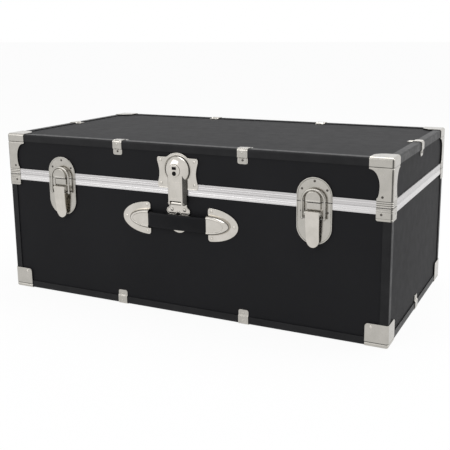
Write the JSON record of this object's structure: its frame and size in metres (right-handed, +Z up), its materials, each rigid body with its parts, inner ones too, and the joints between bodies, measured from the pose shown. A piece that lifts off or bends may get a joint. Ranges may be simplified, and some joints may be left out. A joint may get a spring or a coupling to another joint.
{
  "type": "footlocker",
  "caption": "Flat-topped footlocker of black vinyl-covered boards with metal corners, edge clamps, draw-bolt latches, a hasp lock, a carrying handle and a hinged lid.",
  "frame": {"origin": "centre of the object's box in plan, at the plane on which its bottom corners and clamps rest", "axes": "+Z up; the front with the lock and the handle looks along -Y; the length runs along X, with +X at the right as seen from the front"},
  "size_m": [0.762, 0.4238, 0.311],
  "materials": {
    "black_vinyl": "black vinyl with a fine leather grain, semi-matt",
    "black_fibre": "black vulcanised fibre strip, smooth, semi-matt",
    "rail_metal": "bright drawn rail, satin",
    "nickel": "pressed steel, bright nickel plate",
    "grip_plastic": "black moulded grip, semi-matt",
    "pin_steel": "bright steel wire"
  },
  "bodies": {
    "base": {"base_front_board": "black_vinyl", "base_back_board": "black_vinyl", "base_left_board": "black_vinyl", "base_right_board": "black_vinyl", "base_bottom_board": "black_vinyl", "base_edge_binding": "black_fibre", "base_rail": "rail_metal", "base_corner_front_left": "nickel", "base_corner_front_right": "nickel", "base_corner_back_left": "nickel", "base_corner_back_right": "nickel", "rail_corner_front_left": "nickel", "rail_corner_front_right": "nickel", "rail_corner_back_left": "nickel", "rail_corner_back_right": "nickel", "base_clamp_front_left": "nickel", "base_clamp_front_right": "nickel", "base_clamp_back_left": "nickel", "base_clamp_back_right": "nickel", "base_clamp_left": "nickel", "base_clamp_right": "nickel", "left_latch_base": "nickel", "right_latch_base": "nickel", "hasp_foot": "nickel", "left_handle_cap": "nickel", "right_handle_cap": "nickel", "left_hinge_base_leaf": "nickel", "right_hinge_base_leaf": "nickel", "left_hinge_pin": "pin_steel", "right_hinge_pin": "pin_steel"},
    "lid": {"lid_top_board": "black_vinyl", "lid_front_board": "black_vinyl", "lid_back_board": "black_vinyl", "lid_left_board": "black_vinyl", "lid_right_board": "black_vinyl", "lid_edge_binding": "black_fibre", "lid_rail": "rail_metal", "lid_corner_front_left": "nickel", "lid_corner_front_right": "nickel", "lid_corner_back_left": "nickel", "lid_corner_back_right": "nickel", "lid_clamp_front_left": "nickel", "lid_clamp_front_right": "nickel", "lid_clamp_back_left": "nickel", "lid_clamp_back_right": "nickel", "lid_clamp_left": "nickel", "lid_clamp_right": "nickel", "left_catch_plate": "nickel", "right_catch_plate": "nickel", "lock_plate": "nickel", "left_hinge_lid_leaf": "nickel", "right_hinge_lid_leaf": "nickel"},
    "left_lever_arm": {"left_lever": "nickel"},
    "left_bail_loop": {"left_bail": "nickel"},
    "right_lever_arm": {"right_lever": "nickel"},
    "right_bail_loop": {"right_bail": "nickel"},
    "hasp_arm": {"hasp": "nickel"},
    "lock_plug": {"key_plug": "nickel"},
    "grip": {"handle_grip": "grip_plastic"}
  },
  "joints": [
    {"name": "lid_open", "type": "hinge", "parent": "base", "child": "lid", "pos_m": [0, 0.2087, 0.2314], "axis": [-1, 0, 0], "range_deg": [0, 100]},
    {"name": "left_lever_throw", "type": "hinge", "parent": "base", "child": "left_lever_arm", "pos_m": [-0.253, -0.2053, 0.213], "axis": [-1, 0, 0], "range_deg": [0, 110]},
    {"name": "left_bail_swing", "type": "hinge", "parent": "left_lever_arm", "child": "left_bail_loop", "pos_m": [-0.253, -0.2053, 0.2055], "axis": [-1, 0, 0], "range_deg": [-110, 0]},
    {"name": "right_lever_throw", "type": "hinge", "parent": "base", "child": "right_lever_arm", "pos_m": [0.253, -0.2053, 0.213], "axis": [-1, 0, 0], "range_deg": [0, 110]},
    {"name": "right_bail_swing", "type": "hinge", "parent": "right_lever_arm", "child": "right_bail_loop", "pos_m": [0.253, -0.2053, 0.2055], "axis": [-1, 0, 0], "range_deg": [-110, 0]},
    {"name": "hasp_open", "type": "hinge", "parent": "base", "child": "hasp_arm", "pos_m": [0, -0.2039, 0.2065], "axis": [1, 0, 0], "range_deg": [0, 95]},
    {"name": "key_turn", "type": "hinge", "parent": "hasp_arm", "child": "lock_plug", "pos_m": [0, -0.2107, 0.2656], "axis": [0, 1, 0], "range_deg": [0, 90]},
    {"name": "grip_pull", "type": "slide", "parent": "base", "child": "grip", "axis": [0, -1, 0], "range_m": [0, 0.007]}
  ],
  "couplings": [
    {"joint": "left_bail_swing", "follows": "left_lever_throw", "ratio": -1},
    {"joint": "right_bail_swing", "follows": "right_lever_throw", "ratio": -1}
  ]
}
